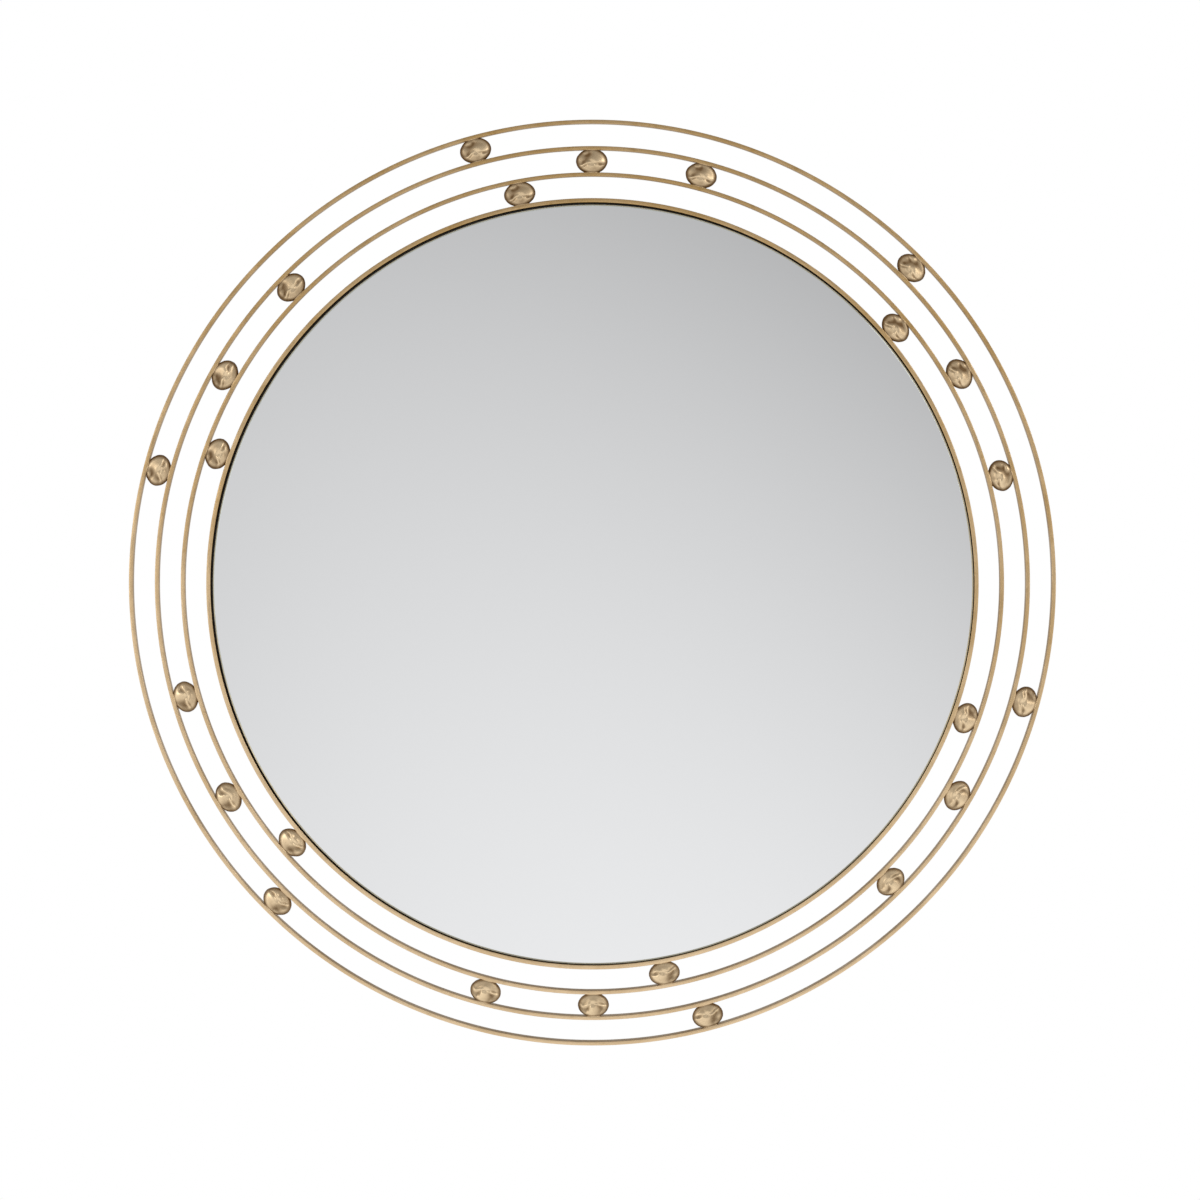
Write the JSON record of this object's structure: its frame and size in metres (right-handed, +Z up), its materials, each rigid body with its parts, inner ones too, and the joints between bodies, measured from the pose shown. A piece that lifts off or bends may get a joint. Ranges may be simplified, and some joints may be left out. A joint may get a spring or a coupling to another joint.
{
  "type": "round wall mirror",
  "caption": "Round flat wall mirror in a thin metal band, ringed by three concentric open strip hoops joined by hammered oval beads, with swinging D-ring hangers behind.",
  "frame": {"origin": "centre of the mirror on the wall plane, which the rear faces of the wall bumpers touch", "axes": "+Z up, -Y out of the glass towards the viewer, +Y into the wall, +X to the right as seen from the front"},
  "size_m": [1, 0.0265, 1],
  "materials": {
    "aged_brass": "brushed antique brass, softly worn, satin",
    "hammered_brass": "hammered antique brass with darker hollows, satin",
    "mirror_silver": "clear silvered glass with a polished arris",
    "black_board": "matt black painted fibreboard",
    "foam_tape": "white double-sided foam tape",
    "zinc_steel": "bright zinc plated steel",
    "black_rubber": "matt black rubber"
  },
  "bodies": {
    "mirror": {"outer_ring": "aged_brass", "second_ring": "aged_brass", "third_ring": "aged_brass", "mirror_frame_ring": "aged_brass", "outer_bead_1": "hammered_brass", "outer_bead_2": "hammered_brass", "outer_bead_3": "hammered_brass", "outer_bead_4": "hammered_brass", "outer_bead_5": "hammered_brass", "outer_bead_6": "hammered_brass", "middle_bead_1": "hammered_brass", "middle_bead_2": "hammered_brass", "middle_bead_3": "hammered_brass", "middle_bead_4": "hammered_brass", "middle_bead_5": "hammered_brass", "middle_bead_6": "hammered_brass", "middle_bead_7": "hammered_brass", "middle_bead_8": "hammered_brass", "middle_bead_9": "hammered_brass", "middle_bead_10": "hammered_brass", "middle_bead_11": "hammered_brass", "middle_bead_12": "hammered_brass", "inner_bead_1": "hammered_brass", "inner_bead_2": "hammered_brass", "inner_bead_3": "hammered_brass", "inner_bead_4": "hammered_brass", "inner_bead_5": "hammered_brass", "inner_bead_6": "hammered_brass", "mirror_glass": "mirror_silver", "backing_board": "black_board", "mirror_tape_1": "foam_tape", "mirror_tape_2": "foam_tape", "mirror_tape_3": "foam_tape", "mirror_tape_4": "foam_tape", "board_tab_1": "aged_brass", "board_tab_2": "aged_brass", "board_tab_3": "aged_brass", "board_tab_4": "aged_brass", "board_tab_5": "aged_brass", "board_tab_6": "aged_brass", "tab_screw_1": "zinc_steel", "tab_screw_2": "zinc_steel", "tab_screw_3": "zinc_steel", "tab_screw_4": "zinc_steel", "tab_screw_5": "zinc_steel", "tab_screw_6": "zinc_steel", "hanger_strap_left": "zinc_steel", "hanger_screw_left_upper": "zinc_steel", "hanger_screw_left_lower": "zinc_steel", "hanger_strap_right": "zinc_steel", "hanger_screw_right_upper": "zinc_steel", "hanger_screw_right_lower": "zinc_steel", "wall_bumper_1": "black_rubber", "wall_bumper_2": "black_rubber", "wall_bumper_3": "black_rubber", "wall_bumper_4": "black_rubber"},
    "left_ring": {"hanger_ring_left": "zinc_steel"},
    "right_ring": {"hanger_ring_right": "zinc_steel"}
  },
  "joints": [
    {"name": "left_ring_swing", "type": "hinge", "parent": "mirror", "child": "left_ring", "pos_m": [-0.2, -0.00445, 0.17], "axis": [1, 0, 0], "range_deg": [0, 180]},
    {"name": "right_ring_swing", "type": "hinge", "parent": "mirror", "child": "right_ring", "pos_m": [0.2, -0.00445, 0.17], "axis": [1, 0, 0], "range_deg": [0, 180]}
  ]
}
